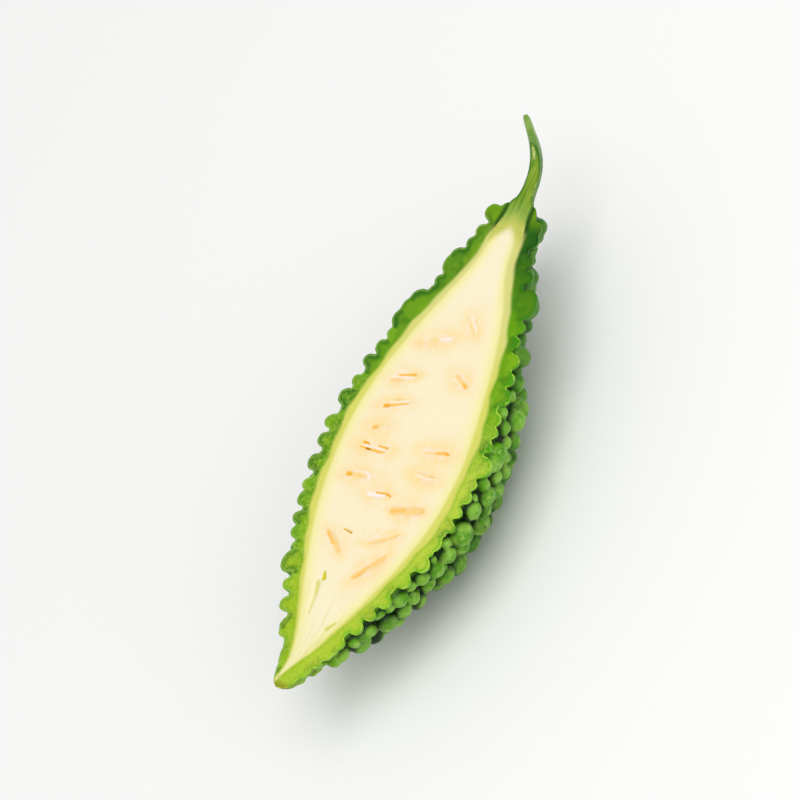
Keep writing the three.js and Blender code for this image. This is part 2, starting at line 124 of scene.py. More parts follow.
# Tubercles that the knife went through: share of the length, radius, how many in a row
LEFT_EDGE = [
    (0.057, 2.4, 2), (0.11, 2.6, 2), (0.154, 2.6, 1), (0.191, 2.6, 1), (0.2325, 3.4, 1),
    (0.288, 2.3, 1), (0.315, 2.4, 1), (0.352, 2.4, 1), (0.38, 2.2, 1), (0.424, 2.9, 1),
    (0.469, 2.5, 1), (0.506, 3.1, 1), (0.558, 2.7, 1), (0.595, 2, 1), (0.636, 2.6, 1),
    (0.668, 2.3, 1), (0.698, 2.2, 1), (0.75, 4.2, 3), (0.819, 1.9, 1), (0.863, 3.5, 2),
    (0.904, 2, 1), (0.932, 2.3, 1), (0.971, 3.3, 1),
]
RIGHT_EDGE = [
    (0.1, 2.2, 3), (0.149, 2.2, 1), (0.177, 2.2, 1), (0.2087, 2.2, 1), (0.253, 2.3, 1),
    (0.2935, 2.9, 1), (0.335, 2, 1), (0.3725, 1.9, 1), (0.4, 1.9, 1), (0.4325, 1.9, 1),
    (0.458, 2, 1), (0.494, 3.6, 1), (0.533, 1.9, 1), (0.56, 2.1, 1), (0.585, 2.1, 1),
    (0.629, 2.7, 1), (0.664, 2.7, 1), (0.697, 2.6, 1), (0.7345, 2.1, 1), (0.763, 2.2, 1),
    (0.806, 5, 1), (0.86, 2.4, 1), (0.89, 1.8, 1), (0.943, 2.3, 3),
]
# Large tubercles below the right edge: share of the length, degrees below the face, radius, count
RIGHT_ROWS = [
    (0.565, 18, 2.4, 1), (0.54, 21, 2.4, 1), (0.46, 17, 3.3, 1), (0.412, 26, 3.4, 1),
    (0.366, 23, 3.2, 1), (0.28, 22, 2.7, 1), (0.245, 22, 3, 1), (0.19, 27, 3.4, 1),
    (0.631, 40, 2.5, 1), (0.544, 41, 3, 3), (0.494, 36, 3, 1), (0.439, 46, 3.1, 1),
    (0.39, 43, 3.6, 1), (0.299, 44, 2.7, 1), (0.259, 50, 3.2, 1),
]
# The other tubercles are drawn at random, the largest first: radius, tries
RANDOM_SIZES = [(4.1, 300), (3.5, 1200), (3, 2400), (2.5, 3600), (1.9, 3000), (1.4, 3500)]
RIDGE_ENDS = 0.2  # share of the length at each end where rows of tubercles are common
OVER_EDGE = 0.16  # radians that the draw goes past the face, on both sides
SPACING = 0.88  # least distance of two tubercles, as a share of both radii
TUBERCLE_LIFT = 0.3  # how far a tubercle's centre stands out of the wall, in its radius
BEAD_SQUASH = 0.12

# The stalk's middle line past the lip: x, y, below the face, radius
STALK_LINE = [
    (171.5, -3.8, 0, 3.5), (174.3, -3.8, 0, 2.8), (177.9, -3.5, 0, 2.6), (181.5, -2.6, 0.3, 2.35),
    (185.2, -0.8, 0.8, 2.15), (188.7, 1.7, 1.4, 1.95), (192.2, 4.8, 2, 1.65), (195.6, 8.3, 2.6, 1.4),
    (199, 11.8, 3.1, 1.2), (200.6, 13.5, 3.3, 1),
]
# Pale streaks and the bare patch on the cut stalk: as the marks in the pith
STALK_STREAKS = [
    (177.6, -5.5, 173, -6.3, 0.3, 0.18, 1.0), (182.5, -0.9, 178.6, -1.3, 0.25, 0.25, 0.6),
    (178.6, -1.3, 175.4, -1.6, 0.25, 0.18, 0.5), (189, 2.0, 185.6, -0.6, 0.9, 0.7, 0.8),
]
STALK_RIDGE = 0.07
# Middle line: its hook at the tip, and its sway with its place and spread in the length
TIP_HOOK, HOOK_POWER = 4.7, 7
SWAY, SWAY_AT, SWAY_SPREAD = 1.4, 0.6, 0.15
TIP_SHIFT, TIP_SHIFT_LENGTH = 3.3, 9
# Pith and wall: lean of the belly, slimness at the tip and at the stalk
PITH_FORM, WALL_FORM = (0.89, 1.52, 1.17), (0.925, 1.3, 0.94)
PITH_START, CORE_END = 4, 160.6
CORE_TIP, CORE_FIRST_RING = 3.0, 3.6
CORE_MARGIN = 0.15
ROOT_RADIUS, ROOT_TAPER = 5.2, 0.7
END_RADIUS, END_GROWTH = 4.5, 3.2
TIP_CAP = 5.0
TIP_CALM, TIP_CALM_LEFT = 19, 7  # where tubercles are full, later on the left
NECK_LEAN, NECK_START, NECK_END = 0.45, 104, 126
LIP_LENGTH, LIP_OPENING = 5.0, 4.8
WALL_BELLY = 29.8
ROW_STEP = 0.9
# Edge lengths of the even faces on the cut
WALL_FACE, PITH_FACE, SEED_FACE, STALK_FACE = 0.55, 0.42, 0.14, 0.3
CUT_TOLERANCE = 0.01
# How far the tints round a seed reach into the pith
TINT_REACH = {"halo": 0.8, "warm": 6.0, "glow": 2.8}
POCKET_DEPTH, VEIN_DEPTH, TAN_DEPTH = 1.5, 0.3, 0.25
# The copied seed: half thickness, half length and depth, and its middle's depth below the cut
MASTER_SEED, MASTER_CUT = np.array([1.7, 6, 6]), 1.5
SEED_RISE, TAN_DENT, PALE_DENT = 0.04, 0.3, 0.12
# From the cut face to the camera, and its aim to the right of the tip and above it
TOWARD_CAMERA = -0.225, -0.639, 0.735
AIM = 36.14, 87.66
LAMP_DISTANCE, LAMP_SIZE = 1.7, 1.4


def linear(red, green, blue):
    """A colour as it is seen, 0 to 255, in the linear numbers that shaders take."""
    def channel(value):
        value /= 255
        return value / 12.92 if value <= 0.04045 else ((value + 0.055) / 1.055) ** 2.4
    return channel(red), channel(green), channel(blue)


def colour(name, about, red, green, blue):
    return FloatVectorProperty(name=name, description=about, subtype="COLOR", size=3, min=0, max=1,
                               default=linear(red, green, blue))


class GourdShape(PropertyGroup):
    """Sizes of the gourd's own forms."""
    wall_radius: FloatProperty(name="Wall Radius", description="The wall between its tubercles",
                               default=0.0298, unit="LENGTH")
    pith_radius: FloatProperty(name="Pith Radius", description="The pale core at its thickest",
                               default=0.0242, unit="LENGTH")
    bow: FloatProperty(name="Bow", description="Sideways bend of the body", default=0.0037,
                       unit="LENGTH")
    skin_detail: FloatProperty(name="Skin Detail", description="Edge length of the skin's faces",
                               default=0.00052, unit="LENGTH")
    start: IntProperty(name="Seed", description="Start of the random draw", default=20260)


class GourdLooks(PropertyGroup):
    """Colours of the skin, the cut face, the seeds and the stalk."""
    # Painted shade: the skin deep between tubercles is darkened as if in shadow
    crease_shade: colour("Crease", "Skin deep between tubercles", 8, 40, 1)
    skin: colour("Skin", "Skin on a tubercle's side", 92, 158, 12)
    bloom: colour("Bloom", "Pale film on parts of the skin", 138, 188, 62)
    flesh_dark: colour("Dark Flesh", "Cut wall near the stalk", 36, 94, 8)
    flesh: colour("Flesh", "Cut wall in the middle", 100, 162, 8)
    flesh_light: colour("Light Flesh", "Cut wall towards the blossom tip", 186, 209, 64)
    lime: colour("Lime", "Between the green wall and the pith", 218, 218, 104)
    cream: colour("Cream", "Outer pith", 251, 241, 190)
    peach: colour("Peach", "Pith among the seeds", 254, 236, 202)
    seed: colour("Seed", "Cut seed", 254, 204, 104)
    stalk: colour("Stalk", "Skin of the stalk", 108, 152, 44)


class StageLooks(PropertyGroup):
    """The floor, the light and the camera."""
    floor: colour("Floor", "Plain pale floor", 250, 250, 249)
    sky: FloatProperty(name="Sky", description="Strength of the light from all round", default=0.56)
    key: FloatProperty(name="Key", description="Strength of the soft lamp", default=14,
                       unit="POWER")
    fill: FloatProperty(name="Fill", description="Strength of the lamp from the side", default=5,
                        unit="POWER")
    distance: FloatProperty(name="Distance", description="Camera to cut face", default=1.348,
                            unit="LENGTH")
    roll: FloatProperty(name="Roll", description="Lean of the body in the picture",
                        default=math.radians(64.5), subtype="ANGLE")


# Shape

def smooth(start, end, x):
    t = np.clip((np.asarray(x, float) - start) / (end - start), 0, 1)
    return t * t * (3 - 2 * t)


def middle_y(x):
    """The body's middle line, seen from above."""
    u = np.clip(np.asarray(x, float) / BODY_LENGTH, 0, 1)
    sway = SWAY * np.exp(-((u - SWAY_AT) / SWAY_SPREAD) ** 2)
    return TIP_HOOK * (1 - u) ** HOOK_POWER + sway - bpy.context.scene.gourd_shape.bow / MM


def spindle(u, radius, lean, tip_slim, stalk_slim):
    """Radius at a share of the length. The lean moves the belly, and each end has its slimness."""
    u = np.clip(u, 0, 1)
    wave = np.maximum(0, np.sin(np.pi * u ** lean))
    return radius / MM * wave ** (tip_slim + (stalk_slim - tip_slim) * u)


def core_y(x):
    """The pith's middle line, which nears the left edge at the tip."""
    return middle_y(x) + TIP_SHIFT * np.exp(-(np.asarray(x, float) / TIP_SHIFT_LENGTH) ** 2)


def core_radius(x):
    """Radius of the pith, and of the stalk's root that carries it on."""
    x = np.asarray(x, float)
    radius = bpy.context.scene.gourd_shape.pith_radius
    belly = spindle((x - PITH_START) / (BODY_LENGTH - PITH_START), radius, *PITH_FORM)
    share = np.clip((x - CORE_END) / (BODY_LENGTH - CORE_END), 0, 1)
    root = (ROOT_RADIUS - ROOT_TAPER * share) * smooth(0.8, 0.95, x / BODY_LENGTH)
    return np.hypot(belly, root)


def wall_radius(x):
    """Radius of the green wall between its tubercles."""
    x = np.asarray(x, float)
    u = np.clip(x / BODY_LENGTH, 0, 1)
    radius = bpy.context.scene.gourd_shape.wall_radius
    full = np.hypot(spindle(u, radius, *WALL_FORM), END_RADIUS + END_GROWTH * u)
    tip = np.sqrt(np.clip(1 - (1 - np.minimum(x, TIP_CAP) / TIP_CAP) ** 2, 0, 1))
    past = np.maximum(x - BODY_LENGTH + LIP_LENGTH, 0) / LIP_LENGTH
    lip = LIP_OPENING + (full - LIP_OPENING) * np.sqrt(np.clip(1 - past ** 2, 0, 1))
    return np.where(past > 0, lip, full * tip)


def around(x, radius, angle, middle=middle_y):
    """A point at a radius and an angle: 0 is the left edge, 90 degrees the bottom."""
    depth = radius * np.sin(angle)
    lean = NECK_LEAN * smooth(NECK_START, NECK_END, x) * np.maximum(depth, 0)
    return np.stack([x + 0 * angle, middle(x) + radius * np.cos(angle) + lean,
                     FACE_HEIGHT - depth], axis=-1)


def outward(x, angle):
    """The direction away from the wall at an angle."""
    slope = (wall_radius(x + 0.2) - wall_radius(np.maximum(0, x - 0.2))) / 0.4
    n = np.stack([-slope + 0 * angle, np.cos(angle), -np.sin(angle)], axis=-1)
    return n / np.linalg.norm(n, axis=-1, keepdims=True)


def tubercles():
    """Balls sunk in the wall: an array of x, y, z and radius."""
    state = bpy.context.scene.gourd_shape.start

    def draw():
        nonlocal state
        state = (state * 1664525 + 1013904223) & 0xFFFFFFFF
        return state / 4294967296

    def row(x, angle, radius, count):
        at = x + (np.arange(count) - (count - 1) / 2) * radius * ROW_STEP
        at = np.clip(at, 1, BODY_LENGTH - 2)
        angle = np.full(count, angle)
        centre = around(at, wall_radius(at), angle) + outward(at, angle) * TUBERCLE_LIFT * radius
        return np.column_stack([centre, np.full(count, radius)])

    made = [row(u * BODY_LENGTH, 0.0, r, n) for u, r, n in LEFT_EDGE]
    made += [row(u * BODY_LENGTH, math.pi, r, n) for u, r, n in RIGHT_EDGE]
    made += [row(u * BODY_LENGTH, math.pi - math.radians(below), r, n)
             for u, below, r, n in RIGHT_ROWS]
    balls = np.concatenate(made)
    for size, tries in RANDOM_SIZES:
        for _ in range(tries):
            u = 0.02 + 0.96 * draw()
            angle = -OVER_EDGE + (math.pi + 2 * OVER_EDGE) * draw()
            grows, chance = draw(), draw()
            if grows > wall_radius(u * BODY_LENGTH) / WALL_BELLY:
                continue
            end = min(u, 1 - u)
            radius = size * (0.72 + 0.28 * float(smooth(0, 0.3, end)))
            ridges = 0.8 if end < RIDGE_ENDS else 0.22
            count = 1 if chance >= ridges else 2 if chance < ridges / 2 else 3
            new = row(u * BODY_LENGTH, angle, radius, count)
            apart = np.linalg.norm(new[:, None, :3] - balls[None, :, :3], axis=2)
            if (apart > SPACING * (new[:, None, 3] + balls[None, :, 3])).all():
                balls = np.concatenate([balls, new])
    angle = np.arctan2(FACE_HEIGHT - balls[:, 2], balls[:, 1] - middle_y(balls[:, 0]))
    near_tip = 1 - smooth(-1, TIP_CALM + TIP_CALM_LEFT * np.cos(angle), balls[:, 0])
    calm = (1 + TUBERCLE_LIFT) * near_tip * balls[:, 3]
    balls[:, :3] -= outward(balls[:, 0], angle) * calm[:, None]
    balls[:, 3] *= 1 - 0.3 * near_tip
    return balls


# Modelling

def only(obj):
    """Selects this object alone and makes it the active one."""
    bpy.ops.object.select_all(action="DESELECT")
    obj.select_set(True)
    bpy.context.view_layer.objects.active = obj
    return obj


def modify(obj, kind, **settings):
    only(obj)
    modifier = obj.modifiers.new(kind.title(), kind)
    for key, value in settings.items():
        setattr(modifier, key, value)
    bpy.ops.object.modifier_apply(modifier=modifier.name)


def coordinates(obj):
    co = np.empty(len(obj.data.vertices) * 3)
    obj.data.vertices.foreach_get("co", co)
    return co.reshape(-1, 3)


def place(obj, co):
    obj.data.vertices.foreach_set("co", np.asarray(co, float).ravel())
    obj.data.update()


def to_scene(points):
    """Millimetres from the tip to metres from the origin."""
    return (points + np.array(TIP)) * MM


def to_body(points):
    return points / MM - np.array(TIP)


def ringed_sphere(name, sides, rings):
    """A UV sphere to draw out, with each vertex's ring and angle."""
    bpy.ops.mesh.primitive_uv_sphere_add(segments=sides, ring_count=rings + 1, radius=1)
    obj = bpy.context.object
    obj.name = obj.data.name = name
    co = coordinates(obj)
    ring = np.rint(np.arccos(np.clip(co[:, 2], -1, 1)) / math.pi * (rings + 1)).astype(int)
    return obj, ring, np.arctan2(co[:, 1], co[:, 0])


def tube(name, stations, radius_at, sides, ends, middle=middle_y):
    """A closed round body along the middle line, from a UV sphere drawn out along X."""
    obj, ring, angle = ringed_sphere(name, sides, len(stations))
    every = np.concatenate([[ends[0]], stations, [ends[1]]])
    x = every[ring]
    radius = np.where((ring == 0) | (ring == len(every) - 1), 0, radius_at(x))
    place(obj, to_scene(around(x, radius, angle, middle)))
    mend(obj)
    return obj


def mend(obj):
    """Faces point outwards."""
    only(obj)
    bpy.ops.object.mode_set(mode="EDIT")
    bpy.ops.mesh.select_all(action="SELECT")
    bpy.ops.mesh.normals_make_consistent(inside=False)
    bpy.ops.object.mode_set(mode="OBJECT")


def even_stations(start, end, radius_at, step):
    """Places along the body that are about a step apart on its surface."""
    x = np.arange(start, end, 0.05)
    run = np.concatenate([[0], np.cumsum(np.hypot(0.05, np.diff(radius_at(x))))])
    count = max(2, round(run[-1] / step))
    return np.interp(np.linspace(0, run[-1], count + 1), run, x)


def cut_level(obj):
    """Takes away what stands above the knife's plane and closes the cut."""
    only(obj)
    bpy.ops.object.mode_set(mode="EDIT")
    bpy.ops.mesh.select_all(action="SELECT")
    bpy.ops.mesh.bisect(plane_co=(0, 0, FACE_HEIGHT * MM), plane_no=(0, 0, 1), use_fill=True,
                        clear_outer=True)
    bpy.ops.object.mode_set(mode="OBJECT")
    co = coordinates(obj)
    on_plane = np.abs(co[:, 2] - FACE_HEIGHT * MM) < 1.1e-4
    co[on_plane, 2] = FACE_HEIGHT * MM
    place(obj, co)


def tree_of(points):
    tree = KDTree(len(points))
    for i, point in enumerate(points):
        tree.insert(point, i)
    tree.balance()
    return tree


def refill(obj, spacing, slot=1):
    """Gives the level cut even triangles of this edge length, in this material slot."""
    bm = bmesh.new()
    bm.from_mesh(obj.data)
    top = FACE_HEIGHT * MM
    old = [f for f in bm.faces if all(abs(v.co.z - top) < 2e-6 for v in f.verts)]
    bmesh.ops.delete(bm, geom=old, context="FACES")
    rim = [e for e in bm.edges if e.is_boundary]
    verts = list(dict.fromkeys(v for e in rim for v in e.verts))
    index = {v: i for i, v in enumerate(verts)}
    flat = np.array([(v.co.x, v.co.y) for v in verts]) / MM
    tree = tree_of([(x, y, 0) for x, y in flat])
    low, high = flat.min(0), flat.max(0)
    row_gap = spacing * math.sqrt(0.75)
    grid = [(x + (spacing / 2 if n % 2 else 0), y)
            for n, y in enumerate(np.arange(low[1], high[1], row_gap))
            for x in np.arange(low[0], high[0], spacing)]
    inner = [p for p in grid if tree.find((*p, 0))[2] > 0.6 * spacing]
    points = [Vector(p) for p in flat] + [Vector(p) for p in inner]
    edges = [(index[e.verts[0]], index[e.verts[1]]) for e in rim]
    out, _, faces, origin, _, _ = delaunay_2d_cdt(points, edges, [], 1, 1e-5)
    made = []
    for p, first in zip(out, origin):
        known = [i for i in first if i < len(verts)]
        made.append(verts[known[0]] if known else bm.verts.new((p.x * MM, p.y * MM, top)))
    for face in faces:
        corners = [made[i] for i in face]
        if len(set(corners)) == 3:
            new = bm.faces.new(corners)
            new.normal_update()
            if new.normal.z < 0:
                new.normal_flip()
            new.material_index = slot
    loose = [v for v in bm.verts if not v.link_faces]
    bmesh.ops.delete(bm, geom=loose, context="VERTS")
    bmesh.ops.holes_fill(bm, edges=[e for e in bm.edges if e.is_boundary])
    bm.to_mesh(obj.data)
    bm.free()


def attributes(obj, **layers):
    for name, values in layers.items():
        obj.data.attributes.new(name, "FLOAT", "POINT").data.foreach_set(
            "value", np.asarray(values, np.float32))


def on_cut(points):
    return points[:, 2] > FACE_HEIGHT - CUT_TOLERANCE


def inward(points):
    """How far a point of the cut face lies inside the pith's edge, negative outside it."""
    return core_radius(points[:, 0]) - np.abs(points[:, 1] - core_y(points[:, 0]))


def pale_depth(points):
    """How far a point lies inside the lime band's inner edge, which nears the middle in the neck."""
    left = smooth(-2, 2, points[:, 1] - core_y(points[:, 0]))
    return inward(points) - smooth(125, 155, points[:, 0]) * (2.6 - 1.4 * left)


def lime_width(x):
    """How far the lime band reaches out from the pith's edge."""
    swell = smooth(8, 20, x) + 1.3 * smooth(36, 48, x) - 1.9 * smooth(134, 152, x)
    ripple = 0.5 * np.sin(x * 0.21 + 1) + 0.25 * np.sin(x * 0.57)
    return 0.6 + swell + ripple * smooth(10, 40, x) * (1 - smooth(130, 150, x))


def dress(obj, nodes, materials):
    """Gives a finished piece its materials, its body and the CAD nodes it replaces."""
    only(obj)
    bpy.ops.object.shade_smooth_by_angle(angle=math.radians(50))
    for material in materials:
        obj.data.materials.append(material)
    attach(obj, "root")
    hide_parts(*nodes)


# Materials

class Value:
    """A node's output that can stand in written maths."""

    def __init__(self, nodes, socket):
        self.nodes, self.socket = nodes, socket

    def maths(self, operation, first, second=0.0):
        return self.nodes.add("ShaderNodeMath", {"operation": operation}, {0: first, 1: second})

    def __add__(self, other):
        return self.maths("ADD", self, other)

    def __sub__(self, other):
        return self.maths("SUBTRACT", self, other)

    def __rsub__(self, other):
        return self.maths("SUBTRACT", other, self)

    def __mul__(self, other):
        return self.maths("MULTIPLY", self, other)

    def __truediv__(self, other):
        return self.maths("DIVIDE", self, other)

    __radd__ = __add__
    __rmul__ = __mul__


class Nodes:
    """A material's node tree, with one method that adds any node."""

    def __init__(self, name):
        self.material = bpy.data.materials.new(name)
        self.material.use_nodes = True
        self.tree = self.material.node_tree
        self.shader = self.tree.nodes["Principled BSDF"]
        self.looks = bpy.context.scene.gourd_looks

    def add(self, kind, settings=None, inputs=None, output=0):
        node = self.tree.nodes.new(kind)
        for key, value in (settings or {}).items():
            if key == "stops":
                ramp = node.color_ramp
                while len(ramp.elements) < len(value):
                    ramp.elements.new(0.5)
                for element, (at, tone) in zip(ramp.elements, value):
                    element.position = at
                    element.color = (*tone, 1)
            else:
                setattr(node, key, value)
        for key, value in (inputs or {}).items():
            self.join(node.inputs[key], value)
        return Value(self, node.outputs[output])

    def join(self, socket, value):
        if isinstance(value, Value):
            self.tree.links.new(value.socket, socket)
        elif socket.type == "RGBA":
            socket.default_value = (*value, 1)
        else:
            socket.default_value = value

    def finish(self, **inputs):
        for key, value in inputs.items():
            self.join(self.shader.inputs[key.replace("_", " ")], value)
        return self.material

    def read(self, name):
        return self.add("ShaderNodeAttribute", {"attribute_name": name}, output=2)

    def place(self):
        return self.add("ShaderNodeTexCoord", output=3)

    def axis(self, n):
        return self.add("ShaderNodeSeparateXYZ", inputs={0: self.place()}, output=n)

    def along(self):
        """Millimetres from the blossom tip."""
        return self.axis(0) / MM - TIP.x

    def blend(self, mask, first, second):
        return self.add("ShaderNodeMix", {"data_type": "RGBA"}, {0: mask, 6: first, 7: second}, 2)

    def coats(self, tone, *coats):
        """Lays colours over a tone in this order, each by its own mask."""
        for mask, coat in coats:
            tone = self.blend(mask, tone, coat)
        return tone

    def step(self, value, start, end, low=0.0, high=1.0):
        """Turns a value smoothly from low to high between start and end."""
        return self.add("ShaderNodeMapRange", {"interpolation_type": "SMOOTHSTEP"},
                        {0: value, 1: start, 2: end, 3: low, 4: high})

    def noise(self, scale, detail=2.0, stretch=(1, 1, 1)):
        where = self.add("ShaderNodeMapping", inputs={0: self.place(), 3: stretch})
        return self.add("ShaderNodeTexNoise", inputs={"Vector": where, "Scale": scale,
                                                     "Detail": detail})

    def bump(self, height, strength, distance):
        return self.add("ShaderNodeBump", inputs={"Strength": strength, "Distance": distance,
                                                  "Height": height})


def skin_material():
    n = Nodes("Warty Skin")
    crown, own, along = n.read("crown"), n.read("own"), n.along()
    mottle, veins = n.noise(260, 3), n.noise(520, 3, (1, 0.5, 1))
    near_neck = n.step(along, 100, 128)
    near_cut = n.step(n.axis(2), (FACE_HEIGHT - 2) * MM, FACE_HEIGHT * MM)
    tone = n.coats(
        n.looks.skin,
        (own * 0.5, linear(60, 124, 10)),
        (n.step(n.noise(150, 3) + own * 0.1, 0.46, 0.66) * 0.75, n.looks.bloom),
        (n.step(mottle, 0.56, 0.7) * 0.55, linear(38, 96, 22)),
        (n.step(veins, 0.54, 0.68) * 0.4, linear(172, 208, 96)),
        # lighter tubercle crowns: partly a pale bloom, partly a painted highlight on each bump
        (n.step(crown + (veins - 0.5) * 0.8, 0.6, 1) * 0.4, linear(150, 198, 96)),
        # painted shade in the creases between tubercles, away from each crown
        (n.step(crown + (mottle - 0.5) * 0.3, 0.5, -0.25), n.looks.crease_shade),
        # painted shade: the skin low down, near the floor, is darkened
        (n.step(n.axis(2), 0.024, 0.006) * 0.55, linear(30, 78, 6)),
        (near_neck * 0.7, linear(34, 98, 6)),
        (near_cut * (0.6 - near_neck * 0.45), linear(110, 184, 14)),
        (n.step(along, 24, 1) * 0.6, linear(148, 186, 26)),
        (n.step(along + mottle, 2, 0.9) * 0.9, linear(130, 116, 32)))
    pores = n.noise(2600)
    return n.finish(Base_Color=tone, Roughness=n.step(mottle, 0.3, 0.7, 0.3, 0.46),
                    Normal=n.bump(pores + veins * 2, 0.3, 0.0002), Subsurface_Weight=0.06,
                    Subsurface_Scale=0.002, Subsurface_Radius=(0.3, 1.0, 0.15),
                    IOR=1.38, Specular_IOR_Level=0.3, Coat_Weight=0.06, Coat_Roughness=0.25)


def wall_green(n, along, flank, left, right):
    """A green that changes along the wall, in its own way on each side."""
    sides = [n.add("ShaderNodeValToRGB", {"stops": stops}, {0: along}) for stops in (left, right)]
    return n.blend(flank, *sides)


def wall_material():
    n = Nodes("Cut Wall")
    rim, deep, lime, flank, own = map(n.read, ("rim", "inward", "lime", "flank", "own"))
    along = n.along() / BODY_LENGTH
    blotch, grain, soft = n.noise(120), n.noise(1100), n.noise(75, 3)
    fray = n.noise(420, 2, (0.35, 1, 1))
    shifted = along + (soft - 0.5) * 0.14
    green = wall_green(
        n, shifted, flank,
        [(0, linear(154, 188, 22)), (0.18, linear(160, 192, 26)), (0.3, linear(110, 164, 12)),
         (0.6, linear(92, 150, 12)), (0.76, linear(110, 160, 22)), (0.88, linear(82, 136, 24))],
        [(0, linear(174, 202, 40)), (0.46, n.looks.flesh_light), (0.56, linear(114, 170, 12)),
         (0.74, linear(104, 162, 6)), (0.9, n.looks.flesh_dark)])
    edge = wall_green(
        n, shifted, flank,
        [(0, linear(132, 176, 26)), (0.3, linear(86, 150, 14)), (0.5, linear(40, 106, 18)),
         (0.7, linear(54, 120, 16)), (0.9, linear(44, 104, 14))],
        [(0, linear(108, 184, 8)), (0.5, linear(72, 174, 2)), (0.75, linear(54, 150, 1)),
         (0.9, linear(10, 72, 8))])
    lively = 1 - flank * n.step(along, 0.6, 0.85) * 0.65
    lobe = n.step(rim, 3.2, 1.6) * (1 - flank * 0.5) * n.step(along, 0.74, 0.86, 1, 0.35)
    # Painted highlight: a thin pale line just inside the cut edge, where it catches the light
    edge_highlight = n.step(rim + (grain - 0.5) * 0.8, 1, 0.5) * n.step(rim, 0.1, 0.4)
    neck = n.step(along, 0.92, 0.955)
    is_pale = n.step(lime + (fray - 0.5) * 0.9, -1, 0.8) * (1 - neck)
    # Painted highlight: patchy pale marks right at the cut edge, where the edge catches the light
    rim_highlight = n.step(n.noise(330), 0.42, 0.56) * n.step(rim, 0.5, 0.12)
    tone = n.coats(
        green,
        (n.step(soft, 0.5, 0.68) * lively * 0.5, linear(150, 192, 26)),
        (n.step(blotch, 0.5, 0.36) * n.step(along, 0.15, 0.45) * 0.5, linear(44, 108, 14)),
        (n.step(rim + (blotch - 0.5) * 3.5 + flank * 0.9, 2.7, 0.6) * 0.88, edge),
        (n.step(own, 0.55, 0.75) * lobe * 0.5, linear(28, 92, 24)),
        (n.step(own, 0.4, 0.2) * lobe * 0.5, linear(140, 190, 30)),
        # painted highlight along the cut edge on the left side
        (edge_highlight * (1 - flank) * 0.55, linear(144, 188, 78)),
        (n.step(lime, -1.9, -0.4) * n.step(along, 0.9, 0.75) * 0.35, n.looks.flesh),
        (n.step(grain, 0.42, 0.66) * n.step(along, 0.72, 0.5) * 0.26, linear(208, 224, 100)),
        (n.step(along, 0.945, 0.98) * 0.7, linear(118, 164, 14)),
        (neck * n.step(deep, -2.2, -0.5) * 0.85, linear(14, 66, 12)),
        (is_pale, pale_band(n, n.read("band"))),
        (n.step(along, 0.02, 0.002) * 0.85, linear(138, 134, 34)),
        # painted highlight at the cut edge, yellow on the right side and paler on the left
        (rim_highlight * flank * n.step(along, 0.8, 0.7) * 0.9, linear(206, 230, 80)),
        (rim_highlight * (1 - flank) * 0.4, linear(160, 190, 100)))
    return n.finish(Base_Color=tone, Roughness=n.step(grain, 0.3, 0.7, 0.32, 0.46),
                    Specular_IOR_Level=0.12, Normal=n.bump(fray + blotch, 0.2, 0.0003))


def pale_band(n, deep):
    """From the lime band through yellowish cream into the pith."""
    fibres = n.noise(300, 3, (0.25, 1, 1)) - 0.5
    return n.coats(
        n.looks.lime,
        (n.step(n.along(), 105, 135), linear(219, 217, 130)),
        (n.step(deep + fibres * 0.8, -1.4, 0.5), linear(246, 239, 166)),
        (n.step(deep + fibres * 1.2, 0, 3), n.looks.cream))


def towards_stalk(n, tone, deep):
    """Cream ends in a rounded tongue, and pale olive and green lead on to the stalk."""
    along = n.along()
    streak = n.noise(600, 2, (0.12, 1, 1)) * 4 - 2
    return n.coats(
        tone,
        (n.step(along - deep + streak * 0.4, 153, 158.5), linear(198, 202, 92)),
        (n.step(along - deep * 0.5 + streak, 160, 166), linear(142, 176, 66)),
        (n.step(along + streak, 165.5, 173), linear(116, 154, 20)))


def pith_material():
    n = Nodes("Cut Pith")
    deep, warm, halo, glow = map(n.read, ("inward", "warm", "halo", "glow"))
    vein, tan, along = n.read("vein"), n.read("tan"), n.along()
    sponge, patches = n.noise(900, 3), n.noise(210)
    cloud, fibre = n.noise(60, 3, (0.5, 1, 1)), n.noise(800, 2, (0.07, 1, 1))
    tone = n.coats(
        pale_band(n, n.read("band")),
        (n.step(deep, 1.5, 7) * 0.9, linear(252, 241, 206)),
        (n.step(along, 116, 140) * n.step(deep, 2, 6) * 0.55, linear(249, 243, 212)),
        (warm * n.step(cloud, 0.35, 0.65, 0.3, 1) * n.step(deep, 1, 6), n.looks.peach),
        (n.step(cloud, 0.42, 0.66) * warm * 0.7, linear(254, 230, 168)),
        (glow * n.step(patches, 0.3, 0.68, 0.2, 0.95), linear(254, 226, 164)),
        (halo * n.step(patches, 0.58, 0.36) * 0.6, linear(255, 239, 222)),
        (n.step(along, 30, 6) * 0.5, linear(238, 236, 182)),
        (n.step(fibre, 0.5, 0.75) * n.step(along, 45, 20, 0.08, 0.4), linear(230, 222, 128)),
        (n.step(vein, 0, 1), linear(208, 208, 58)),
        (n.step(vein, 0.8, 1.2), linear(218, 200, 30)),
        (n.step(tan, 0, 1), n.looks.seed),
        (n.step(tan, 0.9, 1.4) * 0.8, linear(150, 104, 14)),
        (n.step(along, 5, 3) * 0.8, linear(176, 150, 70)))
    return n.finish(Base_Color=towards_stalk(n, tone, deep),
                    Roughness=n.step(sponge, 0.3, 0.7, 0.38, 0.55),
                    Specular_IOR_Level=0.25, Normal=n.bump(sponge + fibre, 0.15, 0.0003))


